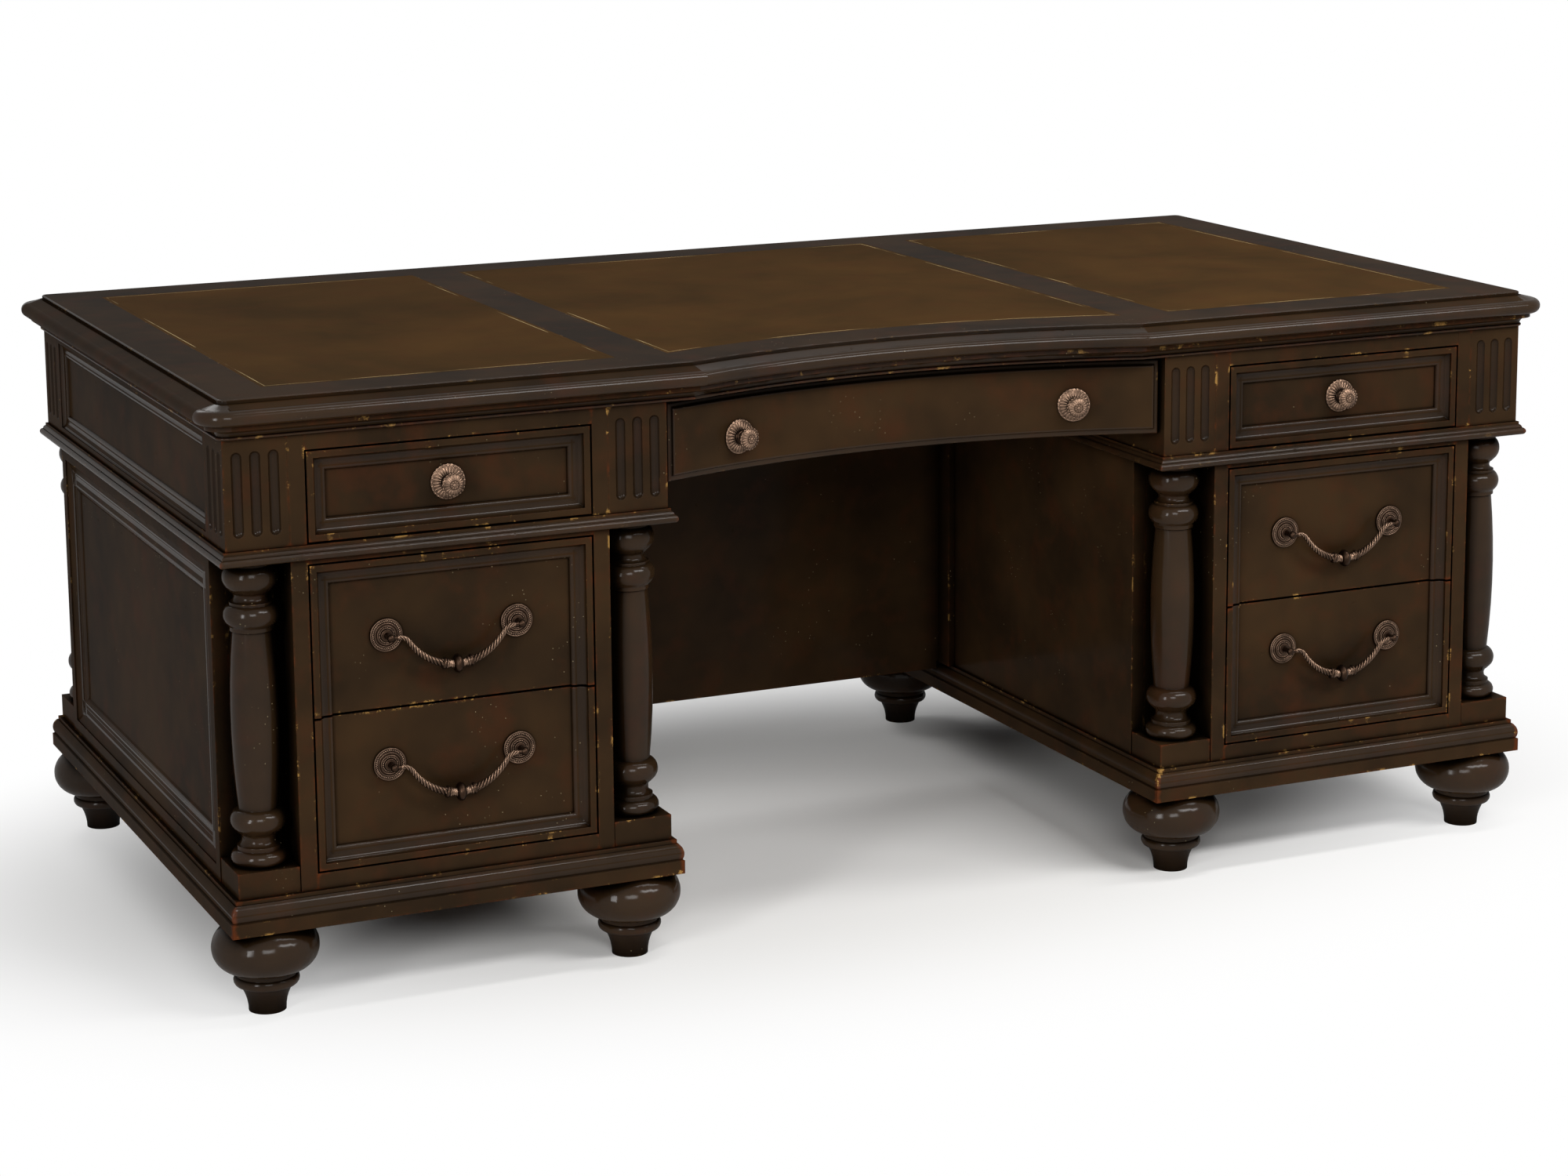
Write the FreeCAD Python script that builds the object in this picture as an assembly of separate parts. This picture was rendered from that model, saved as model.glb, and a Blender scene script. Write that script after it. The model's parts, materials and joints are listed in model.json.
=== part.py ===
import FreeCAD, Part
import math
import os

# Executive desk: two pedestals with turned columns in their notched corners, bun feet, a leather
# top whose front bows in over the kneehole, seven drawers and four swinging bail pulls.
# Millimetres, +Z up. The drawer side faces -Y and the origin is on the floor under the middle.

# Whole desk
desk_height = 780.0
carcass_width = 1872.0
carcass_depth = 936.0
kneehole_width = 724.0
corner_size = 80.0          # side of the square corners: pilasters above, column notches below
board = 20.0                # panels, rails and aprons
case_board = 21.25          # boards that the drawers run between
overrun = 5.0               # how far a cutting shape runs past the face it cuts
cut_tolerance = 0.001       # edges this close are one edge where two mouldings meet

# Top slab: raised board, slope and bullnose, with the front bowed in
slab_thickness = 29.5
slab_overhang = 32.0
top_corner_radius = 8.0
bow_inset = 36.0            # the bow starts this far inside the kneehole's sides
bow_depth = 56.0
# out and up along the edge, as shares of the overhang and the thickness
slab_edge_shares = [(0.70, 0.0), (1.0, 0.33, 0.66, 0.66), (0.16, 0.82), (0.06, 0.82), (0.06, 0.95),
                    (0.033, 0.989, 0.0, 1.0)]

# Cornice board under the slab: bead, cove and fillet
cornice_height = 19.5
cornice_overhang = 18.5
cornice_edge_shares = [(0.22, 0.0), (0.335, 0.11, 0.22, 0.22), (0.45, 0.55, 0.90, 0.68),
                       (1.0, 0.68), (1.0, 1.0)]

# Leather let into the slab
leather_thickness = 1.5
leather_side_margin = 70.0
leather_front_margin = 66.0
cross_band_width = 72.0
cross_band_offset = 6.0     # the band's middle beyond the kneehole's side

# Frieze: fluted pilasters, framed panels and the rail above the top drawers
frieze_height = 137.0
front_rail_height = 20.0
flute_count = 3
flute_width = 13.5
flute_depth = 4.5
flute_spacing = 23.0
flute_margin = 16.0

# Waist board, also the dust panel under the top drawers
waist_thickness = 18.0
waist_overhang = 10.5
waist_edge_shares = [(0.70, 0.0), (1.0, 0.26, 0.72, 0.52), (0.62, 0.52), (0.52, 0.70, 0.30, 0.80),
                     (0.30, 1.0)]

# Base: four moulded strips with plinth, ovolo and bead, round a deck board and the feet's blocks
base_thickness = 44.5
base_overhang = 12.0
base_deck = 20.0
base_rim = 36.0
base_edge_shares = [(1.0, 0.0), (1.0, 0.39), (0.80, 0.42), (0.94, 0.66, 0.48, 0.88), (0.36, 0.88),
                    (0.36, 1.0)]

# Lower body
lower_rail_height = 20.5
top_strip_height = 6.5

# Columns: square block and turning, radius and height as shares of the turning
column_block_height = 32.5
column_block_gap = 1.0      # block to notch wall
column_clearance = 4.6      # widest turning to notch wall
column_shares = [(0.83, 0.0), (1.0, 0.025, 0.83, 0.050), (0.78, 0.052), (0.78, 0.065),
                 (0.61, 0.086, 0.74, 0.108), (0.81, 0.115), (0.985, 0.148, 0.81, 0.181), (0.69, 0.186),
                 (0.85, 0.480, 0.695, 0.766), (0.77, 0.770), (0.77, 0.782), (0.80, 0.786),
                 (0.975, 0.820, 0.82, 0.852), (0.76, 0.854), (0.76, 0.863), (0.60, 0.876, 0.70, 0.895),
                 (0.78, 0.903), (0.975, 0.943, 0.78, 0.981), (0.85, 0.984), (0.85, 1.0)]

# Bun feet, radius and height as shares
foot_height = 114.0
foot_radius = 66.9
foot_inset = 44.0
foot_shares = [(0.35, 0.0), (0.395, 0.17, 0.50, 0.295), (0.57, 0.30), (0.615, 0.355, 0.57, 0.41),
               (0.575, 0.43), (0.60, 0.465, 0.69, 0.475), (1.0, 0.70, 0.78, 0.955), (0.74, 1.0)]

# Framed panels: distance in from the panel's edge and depth, as shares of the frame and the recess
frame_shares = [(0.96, 1.0), (0.91, 0.75, 0.79, 0.64), (0.71, 0.64), (0.45, 0.53, 0.30, 0.18),
                (0.30, 0.0)]
drawer_frame_width = 28.0
drawer_recess = 14.0
frieze_frame_width = 28.0
frieze_recess = 8.0
side_frame_width = 62.0
side_recess = 10.0

# Modesty panel and the cleats that hold it
modesty_inset = 265.0       # back of the desk to the panel's rear face
modesty_drop = 10.5         # how far it hangs below the base's top
modesty_fit = 1.0
cleat_thickness = 10.0
cleat_width = 35.0

# Drawers
drawer_gap = 2.5
drawer_seam = 3.0
drawer_front = 26.0
box_wall = 12.0
box_bottom = 8.0
box_lift = 8.0              # front's lower edge to the box
box_drop = 14.0             # front's upper edge to the box
slide_gap = 13.0
slide_clearance = 0.4
slide_height = 32.0
box_length = 600.0

# Centre drawer with its bowed, lipped front
center_gap = 4.0
center_lift = 31.0          # frieze's lower edge to the front
center_setback = 15.5       # carcass line to the front's face
center_thickness = 22.0
center_lip_width = 8.0
center_lip_step = 4.0
center_box_reach = 440.0    # carcass front to the box's back
center_box_fit = 0.3
center_knob_place = 245.0
center_knob_height_share = 0.43

# Knobs: petal plate and mushroom head, radius and projection as shares
knob_radius = 22.4
knob_projection = 28.0
knob_shares = [(1.0, 0.0), (1.0, 0.06), (0.86, 0.19, 0.46, 0.22), (0.26, 0.30), (0.26, 0.48),
               (0.30, 0.62, 0.60, 0.68), (0.68, 0.74, 0.62, 0.82)]

# Bail pulls: rosettes with bored posts, and the bail that swings in them
pull_spacing_share = 0.55   # post to post, of the drawer's sunk field
pull_rise = 11.0            # posts above the middle of the drawer's field
rosette_radius = 21.0
rosette_thickness = 6.0
rosette_shares = [(1.0, 0.0), (1.0, 0.45), (0.93, 0.78, 0.80, 0.70), (0.76, 0.52), (0.62, 0.52),
                  (0.55, 0.86, 0.44, 1.0)]
post_radius = 4.6
post_ball = 7.5
post_standoff = 21.0
pin_radius = 3.0
pin_fit = 0.3
pin_tip = 1.5
bail_drop = 41.0
bail_radius = 4.2
bail_shoulder = 16.0        # bend where the bail leaves the posts
bail_collar = 2.5           # post's ball to the start of the rope
bail_bead = 12.0
bail_bead_length = 22.0
bail_bead_shares = [(0.42, 0.0), (0.54, 0.07, 0.42, 0.14), (0.46, 0.20), (1.0, 0.50, 0.46, 0.80),
                    (0.42, 0.86), (0.54, 0.93, 0.42, 1.0)]

# Places worked out from the sizes above
half_width = carcass_width / 2
half_depth = carcass_depth / 2
knee_half = kneehole_width / 2
pedestal_half = (half_width - knee_half) / 2
pedestal_mid = knee_half + pedestal_half
slab_bottom = desk_height - slab_thickness
cornice_bottom = slab_bottom - cornice_height
frieze_bottom = cornice_bottom - frieze_height
waist_bottom = frieze_bottom - waist_thickness
base_top = foot_height + base_thickness
case_inner = knee_half + corner_size
case_outer = half_width - corner_size
opening_inner = case_inner + case_board
opening_outer = case_outer - case_board
front_width = opening_outer - opening_inner - 2 * drawer_gap
pull_spacing = pull_spacing_share * (front_width - 2 * drawer_frame_width)
side_reach = half_depth - corner_size
back_line = half_depth - board
bow_half = knee_half - bow_inset
bow_radius = (bow_half ** 2 + bow_depth ** 2) / (2 * bow_depth)
bow_axis = bow_depth - half_depth - bow_radius
modesty_back = half_depth - modesty_inset
modesty_front = modesty_back - board

origin = FreeCAD.Vector(0, 0, 0)
x_axis = FreeCAD.Vector(1, 0, 0)
z_axis = FreeCAD.Vector(0, 0, 1)
full_turn = 360
quarter_turn = 90


def vec(x, y, z):
    return FreeCAD.Vector(x, y, z)


def box(x_low, x_high, y_low, y_high, z_low, z_high):
    return Part.makeBox(x_high - x_low, y_high - y_low, z_high - z_low, vec(x_low, y_low, z_low))


def line(start, end):
    return Part.LineSegment(start, end).toShape()


# An outline is rows of points: a pair ends a straight run, a four is an arc through its first point
def sized(shares, across, up):
    return [tuple(share * (up if place % 2 else across) for place, share in enumerate(row))
            for row in shares]


def trace(rows, place):
    edges = []
    start = place(*rows[0])
    for row in rows[1:]:
        end = place(*row[-2:])
        if len(row) == 2:
            edges.append(line(start, end))
        else:
            edges.append(Part.Arc(start, place(*row[:2]), end).toShape())
        start = end
    return edges


def face_of(edges):
    return Part.Face(Part.Wire(Part.__sortEdges__(edges)))


# Outline that is the same on both sides of a middle line, `half` away from it
def section(half, rows, place):
    bottom = rows[0]
    top = rows[-1][-2:]
    edges = trace(rows, lambda out, up: place(half + out, up))
    edges += trace(rows, lambda out, up: place(-half - out, up))
    for out, up in (bottom, top):
        edges.append(line(place(half + out, up), place(-half - out, up)))
    return face_of(edges)


def reach_of(half, rows):
    return half + max(row[0] for row in rows) + overrun


# Rectangular block with the same edge worked on all four sides, mitred at the corners
def mitred_block(half_x, half_y, rows):
    reach_x = reach_of(half_x, rows)
    reach_y = reach_of(half_y, rows)
    along = section(half_x, rows, lambda side, up: vec(side, -reach_y, up))
    across = section(half_y, rows, lambda side, up: vec(-reach_x, side, up))
    return along.extrude(vec(0, 2 * reach_y, 0)).common(across.extrude(vec(2 * reach_x, 0, 0)))


def half_section(rows):
    edges = trace(rows, lambda out, up: vec(out, 0, up))
    ends = [rows[0], rows[-1][-2:]]
    for out, up in ends:
        if out > 0:
            edges.append(line(vec(out, 0, up), vec(0, 0, up)))
    edges.append(line(vec(0, 0, ends[0][1]), vec(0, 0, ends[1][1])))
    return face_of(edges)


def turned(rows, angle=full_turn):
    return half_section(rows).revolve(origin, z_axis, angle)


# Copy turned to stand out from a face: the shape's +Z becomes -Y, then turns about Z
def facing(shape, turn, place):
    copy = shape.copy()
    copy.rotate(origin, x_axis, quarter_turn)
    copy.rotate(origin, z_axis, turn)
    copy.translate(place)
    return copy


def moved(shape, x, y, z):
    copy = shape.copy()
    copy.translate(vec(x, y, z))
    return copy


def widened(rows, extra):
    return [tuple(value if place % 2 else value + extra for place, value in enumerate(row))
            for row in rows]


# Board with a worked edge, rounded corners and the front bowed in
def bowed_board(rows, bottom):
    corner_x = half_width - top_corner_radius
    corner_y = half_depth - top_corner_radius
    along = section(half_depth, rows, lambda side, up: vec(-corner_x, side, up))
    across = section(half_width, rows, lambda side, up: vec(side, -corner_y, up))
    shape = along.extrude(vec(2 * corner_x, 0, 0))
    ends = across.extrude(vec(0, 2 * corner_y, 0))
    corner = turned(widened(rows, top_corner_radius), quarter_turn)
    corners = []
    for turn, (sign_x, sign_y) in enumerate(((1, 1), (-1, 1), (-1, -1), (1, -1))):
        copy = corner.copy()
        copy.rotate(origin, z_axis, turn * quarter_turn)
        corners.append(moved(copy, sign_x * corner_x, sign_y * corner_y, 0))
    shape = shape.fuse([ends] + corners).removeSplitter()
    inner = [tuple(value if place % 2 else bow_radius - value for place, value in enumerate(row))
             for row in rows]
    first = (inner[0][0], inner[0][1] - overrun)
    last = (inner[-1][-2], inner[-1][-1] + overrun)
    outline = half_section([first] + inner + [last])
    outline.rotate(origin, z_axis, quarter_turn / 2)
    bow = moved(outline.revolve(origin, z_axis, quarter_turn), 0, bow_axis, 0)
    return moved(shape.cut([bow], cut_tolerance), 0, 0, bottom)


# Part of a ring about the bow's axis, between two setbacks behind the carcass line
def bowed_strip(setback, thickness, half, z_low, z_high):
    height = z_high - z_low
    outer = Part.makeCylinder(bow_radius + setback + thickness, height, vec(0, bow_axis, z_low))
    inner = Part.makeCylinder(bow_radius + setback, height, vec(0, bow_axis, z_low))
    reach = box(-half, half, -2 * half_depth, 0, z_low, z_high)
    return outer.cut(inner).common(reach)


# Panel lying face up with a moulded frame round a sunk field
def framed_panel(width, height, thickness, frame_width, recess):
    blank = box(-width / 2, width / 2, -height / 2, height / 2, -thickness, 0)
    rows = sized(frame_shares, -frame_width, -recess)
    rows.append((rows[-1][0], overrun))
    return blank.cut(mitred_block(width / 2, height / 2, rows))


# Round-ended flute, standing on z = 0 at the middle of its lower end
def flute(length):
    radius = (flute_width ** 2 / 4 + flute_depth ** 2) / (2 * flute_depth)
    low = flute_width / 2
    high = length - flute_width / 2
    bend = radius * math.sin(math.pi / 4)
    rows = [(0, low - radius), (bend, low - bend, radius, low), (radius, high),
            (bend, high + bend, 0, high + radius)]
    return moved(turned(rows), 0, flute_depth - radius, 0)


# Square block with flutes in its -Y face, and in its +X face too at the outer corners
def pilaster(both_faces):
    shape = box(-corner_size / 2, corner_size / 2, -corner_size / 2, corner_size / 2, 0, frieze_height)
    cutter = flute(frieze_height - 2 * flute_margin)
    cutters = []
    for place in range(flute_count):
        offset = (place - (flute_count - 1) / 2) * flute_spacing
        cut = moved(cutter, offset, -corner_size / 2, flute_margin)
        cutters.append(cut)
        if both_faces:
            side = cut.copy()
            side.rotate(origin, z_axis, quarter_turn)
            cutters.append(side)
    return shape.cut(cutters)


def front_and_back(shape):
    return [shape, shape.mirror(origin, vec(0, 1, 0))]


# Pieces of the right pedestal's frieze and lower body
def frieze_pieces():
    outer = moved(pilaster(True), half_width - corner_size / 2, corner_size / 2 - half_depth, frieze_bottom)
    inner = moved(pilaster(False), knee_half + corner_size / 2, corner_size / 2 - half_depth, frieze_bottom)
    middle = frieze_bottom + frieze_height / 2
    side = framed_panel(2 * side_reach, frieze_height, board, frieze_frame_width, frieze_recess)
    knee_side = box(knee_half, knee_half + board, -side_reach, side_reach, frieze_bottom, cornice_bottom)
    return {"pilaster_blocks": front_and_back(outer) + front_and_back(inner),
            "frieze_side": [facing(side, quarter_turn, vec(half_width, 0, middle))],
            "frieze_inner": [knee_side]}


def lower_pieces():
    height = waist_bottom - base_top
    middle = base_top + height / 2
    side = framed_panel(2 * side_reach, height, board, side_frame_width, side_recess)
    back = framed_panel(case_outer - case_inner, height, board, side_frame_width, side_recess)
    case_boards = []
    for low, high in ((base_top, waist_bottom), (frieze_bottom, cornice_bottom)):
        case_boards.append(box(case_inner, opening_inner, -half_depth, back_line, low, high))
        case_boards.append(box(opening_outer, case_outer, -half_depth, back_line, low, high))
    walls = [box(case_outer, half_width - board, -side_reach, board - side_reach, base_top, waist_bottom),
             box(knee_half + board, case_inner, -side_reach, board - side_reach, base_top, waist_bottom)]
    knee_side = box(knee_half, knee_half + board, -side_reach, side_reach, base_top, waist_bottom)
    return {"side_panel_outer": [facing(side, quarter_turn, vec(half_width, 0, middle))],
            "side_panel_inner": [knee_side],
            "back_panel": [facing(back, 2 * quarter_turn, vec(pedestal_mid, half_depth, middle))],
            "case_boards": case_boards,
            "notch_backs": front_and_back(walls[0]) + front_and_back(walls[1])}


def waist_board():
    rows = sized(waist_edge_shares, waist_overhang, waist_thickness)
    return moved(mitred_block(pedestal_half, half_depth, rows), pedestal_mid, 0, waist_bottom)


# Wedge that parts a frame at its mitres: from an inner side of the frame out past its edge
def mitre_wedge(half_run, inner, outer):
    spread = outer - inner
    points = [vec(-half_run, inner, 0), vec(half_run, inner, 0), vec(half_run + spread, outer, 0),
              vec(-half_run - spread, outer, 0)]
    edges = [line(points[place - 1], points[place]) for place in range(len(points))]
    return face_of(edges).extrude(vec(0, 0, base_thickness))


def base_board():
    rows = sized(base_edge_shares, base_overhang, base_thickness)
    shape = mitred_block(pedestal_half, half_depth, rows)
    inner_x = pedestal_half - base_rim
    inner_y = half_depth - base_rim
    front = shape.common(mitre_wedge(inner_x, inner_y, reach_of(half_depth, rows)))
    wedge = mitre_wedge(inner_y, inner_x, reach_of(pedestal_half, rows))
    wedge.rotate(origin, z_axis, quarter_turn)
    side = shape.common(wedge)
    hollow = base_thickness - base_deck
    pieces = front_and_back(front) + [side, side.mirror(origin, x_axis)]
    pieces.append(box(-inner_x, inner_x, -inner_y, inner_y, hollow, base_thickness))
    block = box(inner_x - 2 * foot_inset, inner_x, inner_y - 2 * foot_inset, inner_y, 0, hollow)
    for corner in front_and_back(block):
        pieces += [corner, corner.mirror(origin, x_axis)]
    return [moved(piece, pedestal_mid, 0, foot_height) for piece in pieces]


def column():
    block_half = corner_size / 2 - column_block_gap
    height = waist_bottom - base_top - column_block_height
    radius = corner_size / 2 - column_clearance
    block = box(-block_half, block_half, -block_half, block_half, 0, column_block_height)
    turning = moved(turned(sized(column_shares, radius, height)), 0, 0, column_block_height)
    return moved(block.fuse(turning), 0, 0, base_top)


# Copies at the four corners of the right pedestal, `inset` from its faces
def at_corners(shape, inset):
    copies = []
    for x in (knee_half + inset, half_width - inset):
        for y in (inset - half_depth, half_depth - inset):
            copies.append(moved(shape, x, y, 0))
    return copies


# Box of a drawer: two sides, back and bottom
def drawer_box(x_low, x_high, y_front, y_back, z_low, z_high):
    floor = z_low + box_bottom
    return [box(x_low, x_low + box_wall, y_front, y_back, z_low, z_high),
            box(x_high - box_wall, x_high, y_front, y_back, z_low, z_high),
            box(x_low + box_wall, x_high - box_wall, y_back - box_wall, y_back, z_low, z_high),
            box(x_low + box_wall, x_high - box_wall, y_front, y_back - box_wall, z_low, floor)]


# Pair of slides for a drawer that runs between two faces
def slides(x_low, x_high, y_front, y_back, z_low, z_high):
    thick = slide_gap - slide_clearance
    low = (z_low + z_high - slide_height) / 2
    return [box(x_low, x_low + thick, y_front, y_back, low, low + slide_height),
            box(x_high - thick, x_high, y_front, y_back, low, low + slide_height)]


def straight_drawer(z_low, z_high):
    y_front = drawer_front - half_depth
    y_back = y_front + box_length
    low = z_low + box_lift
    high = z_high - box_drop
    return (drawer_box(opening_inner + slide_gap, opening_outer - slide_gap, y_front, y_back, low, high),
            slides(opening_inner, opening_outer, y_front, y_back, low, high))


# Arc row of a round cap that ends an outline on the axis
def cap(radius, low, high):
    sphere = (radius ** 2 + (high - low) ** 2) / (2 * (high - low))
    halfway = radius / 2
    return (halfway, high - sphere + math.sqrt(sphere ** 2 - halfway ** 2), 0, high)


def knob():
    rows = sized(knob_shares, knob_radius, knob_projection)
    rows.append(cap(*rows[-1][-2:], knob_projection))
    return turned(rows)


# Rosette and post, standing on a face at z = 0, with the bore for the bail's pin along X
def rosette():
    rows = sized(rosette_shares, rosette_radius, rosette_thickness)
    neck = math.sqrt(post_ball ** 2 - post_radius ** 2)
    rows += [(post_radius, rosette_thickness), (post_radius, post_standoff - neck),
             (post_ball, post_standoff, 0, post_standoff + post_ball)]
    bore = Part.makeCylinder(pin_radius + pin_fit, 2 * rosette_radius,
                             vec(-rosette_radius, 0, post_standoff), x_axis)
    return turned(rows).cut(bore)


# Swept round bar along edges that run on in one line
def round_bar(edges, radius):
    path = Part.Wire(edges)
    start = edges[0].firstVertex().Point
    ring = Part.Wire(Part.makeCircle(radius, start, x_axis))
    return path.makePipeShell([ring], True, False)


# Bail hanging in the XZ plane, its pins on the X axis
def bail():
    half_span = pull_spacing / 2
    rope_start = half_span - post_ball - bail_collar
    turn = 2 * math.atan2(bail_drop, rope_start)
    sweep = rope_start / math.sin(turn) - bail_shoulder
    knee_x = rope_start - bail_shoulder * math.sin(turn)
    knee_z = -bail_shoulder * (1 - math.cos(turn))
    half = turn / 2
    shoulder_x = rope_start - bail_shoulder * math.sin(half)
    shoulder_z = -bail_shoulder * (1 - math.cos(half))
    sag_x = sweep * math.sin(half)
    sag_z = sweep * (1 - math.cos(half)) - bail_drop
    points = [vec(-rope_start, 0, 0), vec(-shoulder_x, 0, shoulder_z), vec(-knee_x, 0, knee_z),
              vec(-sag_x, 0, sag_z), vec(0, 0, -bail_drop), vec(sag_x, 0, sag_z),
              vec(knee_x, 0, knee_z), vec(shoulder_x, 0, shoulder_z), vec(rope_start, 0, 0)]
    edges = [Part.Arc(*points[place:place + 3]).toShape() for place in range(0, len(points) - 1, 2)]
    shape = round_bar(edges, bail_radius)
    tip = half_span + post_ball + pin_tip
    pins = [Part.makeCylinder(pin_radius, tip - rope_start, vec(sign * rope_start, 0, 0), x_axis * sign)
            for sign in (-1, 1)]
    bead = turned(sized(bail_bead_shares, bail_bead, bail_bead_length))
    bead.rotate(origin, vec(0, 1, 0), quarter_turn)
    bead.translate(vec(-bail_bead_length / 2, 0, -bail_drop))
    return shape.fuse(pins + [bead])


# The nodes, each a list of solids
nodes = {}


def add_pair(name, solids):
    nodes[name + "_right"] = solids
    nodes[name + "_left"] = [solid.mirror(origin, x_axis) for solid in solids]


# Top slab with its pockets, and the leather that fills them
slab = bowed_board(sized(slab_edge_shares, slab_overhang, slab_thickness), slab_bottom)
band_mid = knee_half + cross_band_offset
leather_depth = half_depth - leather_front_margin
leather_low = desk_height - leather_thickness
wing = box(band_mid + cross_band_width / 2, half_width - leather_side_margin, -leather_depth, leather_depth,
           leather_low, desk_height)
middle_reach = band_mid - cross_band_width / 2
bow_front = Part.makeCylinder(bow_radius + leather_front_margin, slab_thickness,
                              vec(0, bow_axis, slab_bottom))
middle = box(-middle_reach, middle_reach, -half_depth, leather_depth, leather_low, desk_height)
middle = middle.cut(bow_front)
add_pair("leather", [wing])
nodes["leather_center"] = [middle]
nodes["top_slab"] = [slab.cut(nodes["leather_left"] + [wing, middle])]
cornice_rows = sized(cornice_edge_shares, cornice_overhang, cornice_height)
nodes["cornice_board"] = [bowed_board(cornice_rows, cornice_bottom)]

# Carcass
for name, solids in {**frieze_pieces(), **lower_pieces()}.items():
    add_pair(name, solids)
add_pair("waist_board", [waist_board()])
add_pair("base_board", base_board())
add_pair("columns", at_corners(column(), corner_size / 2))
add_pair("feet", at_corners(turned(sized(foot_shares, foot_radius, foot_height)), foot_inset))

frieze_middle = frieze_bottom + frieze_height / 2
apron = framed_panel(2 * knee_half, frieze_height, board, frieze_frame_width, frieze_recess)
end_apron = framed_panel(case_outer - case_inner, frieze_height, board, frieze_frame_width, frieze_recess)
nodes["frieze_back_panels"] = [facing(apron, 2 * quarter_turn, vec(0, half_depth, frieze_middle))]
for sign in (-1, 1):
    place = vec(sign * pedestal_mid, half_depth, frieze_middle)
    nodes["frieze_back_panels"].append(facing(end_apron, 2 * quarter_turn, place))

rails = []
for low, high in ((cornice_bottom - front_rail_height, cornice_bottom),
                  (waist_bottom - top_strip_height, waist_bottom),
                  (base_top, base_top + lower_rail_height)):
    rail = box(opening_inner, opening_outer, -half_depth, board - half_depth, low, high)
    rails += [rail, rail.mirror(origin, x_axis)]
nodes["front_rails"] = rails

# Modesty panel, notched round the base and waist mouldings, and its cleats
panel = box(-knee_half, knee_half, modesty_front, modesty_back, base_top - modesty_drop, cornice_bottom)
notches = []
for low, high, overhang in ((base_top - modesty_drop - overrun, base_top + modesty_fit, base_overhang),
                            (waist_bottom - modesty_fit, frieze_bottom + modesty_fit, waist_overhang)):
    inside = knee_half - overhang - modesty_fit
    for sign in (-1, 1):
        ends = sorted((sign * inside, sign * (knee_half + overrun)))
        notches.append(box(*ends, modesty_front - overrun, modesty_back + overrun, low, high))
nodes["modesty_panel"] = [panel.cut(notches)]
cleat = box(knee_half - cleat_thickness, knee_half, modesty_front - cleat_width, modesty_front, base_top,
            waist_bottom)
nodes["modesty_cleats"] = [cleat, cleat.mirror(origin, x_axis)]

# Top drawers
top_low = frieze_bottom + drawer_gap
top_high = cornice_bottom - front_rail_height - drawer_gap
top_front = framed_panel(front_width, top_high - top_low, drawer_front, drawer_frame_width, drawer_recess)
top_middle = vec(pedestal_mid, -half_depth, (top_low + top_high) / 2)
add_pair("top_drawer_front", [facing(top_front, 0, top_middle)])
top_box, top_slides = straight_drawer(top_low, top_high)
add_pair("top_drawer_box", top_box)
add_pair("top_drawer_knob", [facing(knob(), 0, top_middle + vec(0, drawer_recess, 0))])

# Upper and lower drawers share one frame, parted by the seam
pair_low = base_top + lower_rail_height + drawer_gap
pair_high = waist_bottom - top_strip_height - drawer_gap
seam = (pair_low + pair_high) / 2
pair_front = framed_panel(front_width, pair_high - pair_low, drawer_front, drawer_frame_width, drawer_recess)
pair_front = facing(pair_front, 0, vec(pedestal_mid, -half_depth, seam))
right_slides = top_slides
field = drawer_recess - half_depth
for name, low, high, field_low, field_high in (
        ("lower", pair_low, seam - drawer_seam / 2, pair_low + drawer_frame_width, seam),
        ("upper", seam + drawer_seam / 2, pair_high, seam, pair_high - drawer_frame_width)):
    span = box(knee_half, half_width, -half_depth - overrun, 0, low, high)
    add_pair(name + "_drawer_front", [pair_front.common(span)])
    drawer, pair_slides = straight_drawer(low, high)
    add_pair(name + "_drawer_box", drawer)
    right_slides = right_slides + pair_slides
    pull_height = (field_low + field_high) / 2 + pull_rise
    posts = [vec(pedestal_mid + sign * pull_spacing / 2, field, pull_height) for sign in (-1, 1)]
    add_pair(name + "_rosettes", [facing(rosette(), 0, post) for post in posts])
    add_pair(name + "_bail", [moved(bail(), pedestal_mid, field - post_standoff, pull_height)])

# Centre drawer
center_low = frieze_bottom + center_lift
center_high = cornice_bottom - center_gap
center_half = knee_half - center_gap
lip = bowed_strip(center_setback + center_lip_step, center_thickness - center_lip_step, center_half,
                  center_low, center_high)
raised = bowed_strip(center_setback, center_thickness, center_half - center_lip_width,
                     center_low + center_lip_width, center_high - center_lip_width)
nodes["center_drawer_front"] = [lip.fuse(raised).removeSplitter()]
center_back = center_box_reach - half_depth
box_low = center_low + box_lift
box_high = center_high - box_drop
box_half = knee_half - slide_gap
behind = Part.makeCylinder(bow_radius + center_setback + center_thickness + center_box_fit, frieze_height,
                           vec(0, bow_axis, frieze_bottom))
center_box = drawer_box(-box_half, box_half, -half_depth, center_back, box_low, box_high)
nodes["center_drawer_box"] = [plate.cut(behind) for plate in center_box]
center_slides = slides(-knee_half, knee_half, -side_reach, center_back, box_low, box_high)
nodes["drawer_slides"] = right_slides + [rail.mirror(origin, x_axis) for rail in right_slides] + center_slides

# Its knobs stand square to the bowed face, their plates' rims on it
face_radius = math.sqrt((bow_radius + center_setback) ** 2 - knob_radius ** 2)
knob_turn = math.asin(center_knob_place / face_radius)
knob_height = center_low + center_knob_height_share * (center_high - center_low)
center_knobs = []
for sign in (-1, 1):
    place = vec(sign * center_knob_place, bow_axis + face_radius * math.cos(knob_turn), knob_height)
    center_knobs.append(facing(knob(), -sign * math.degrees(knob_turn), place))
nodes["center_drawer_knobs"] = center_knobs

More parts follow.
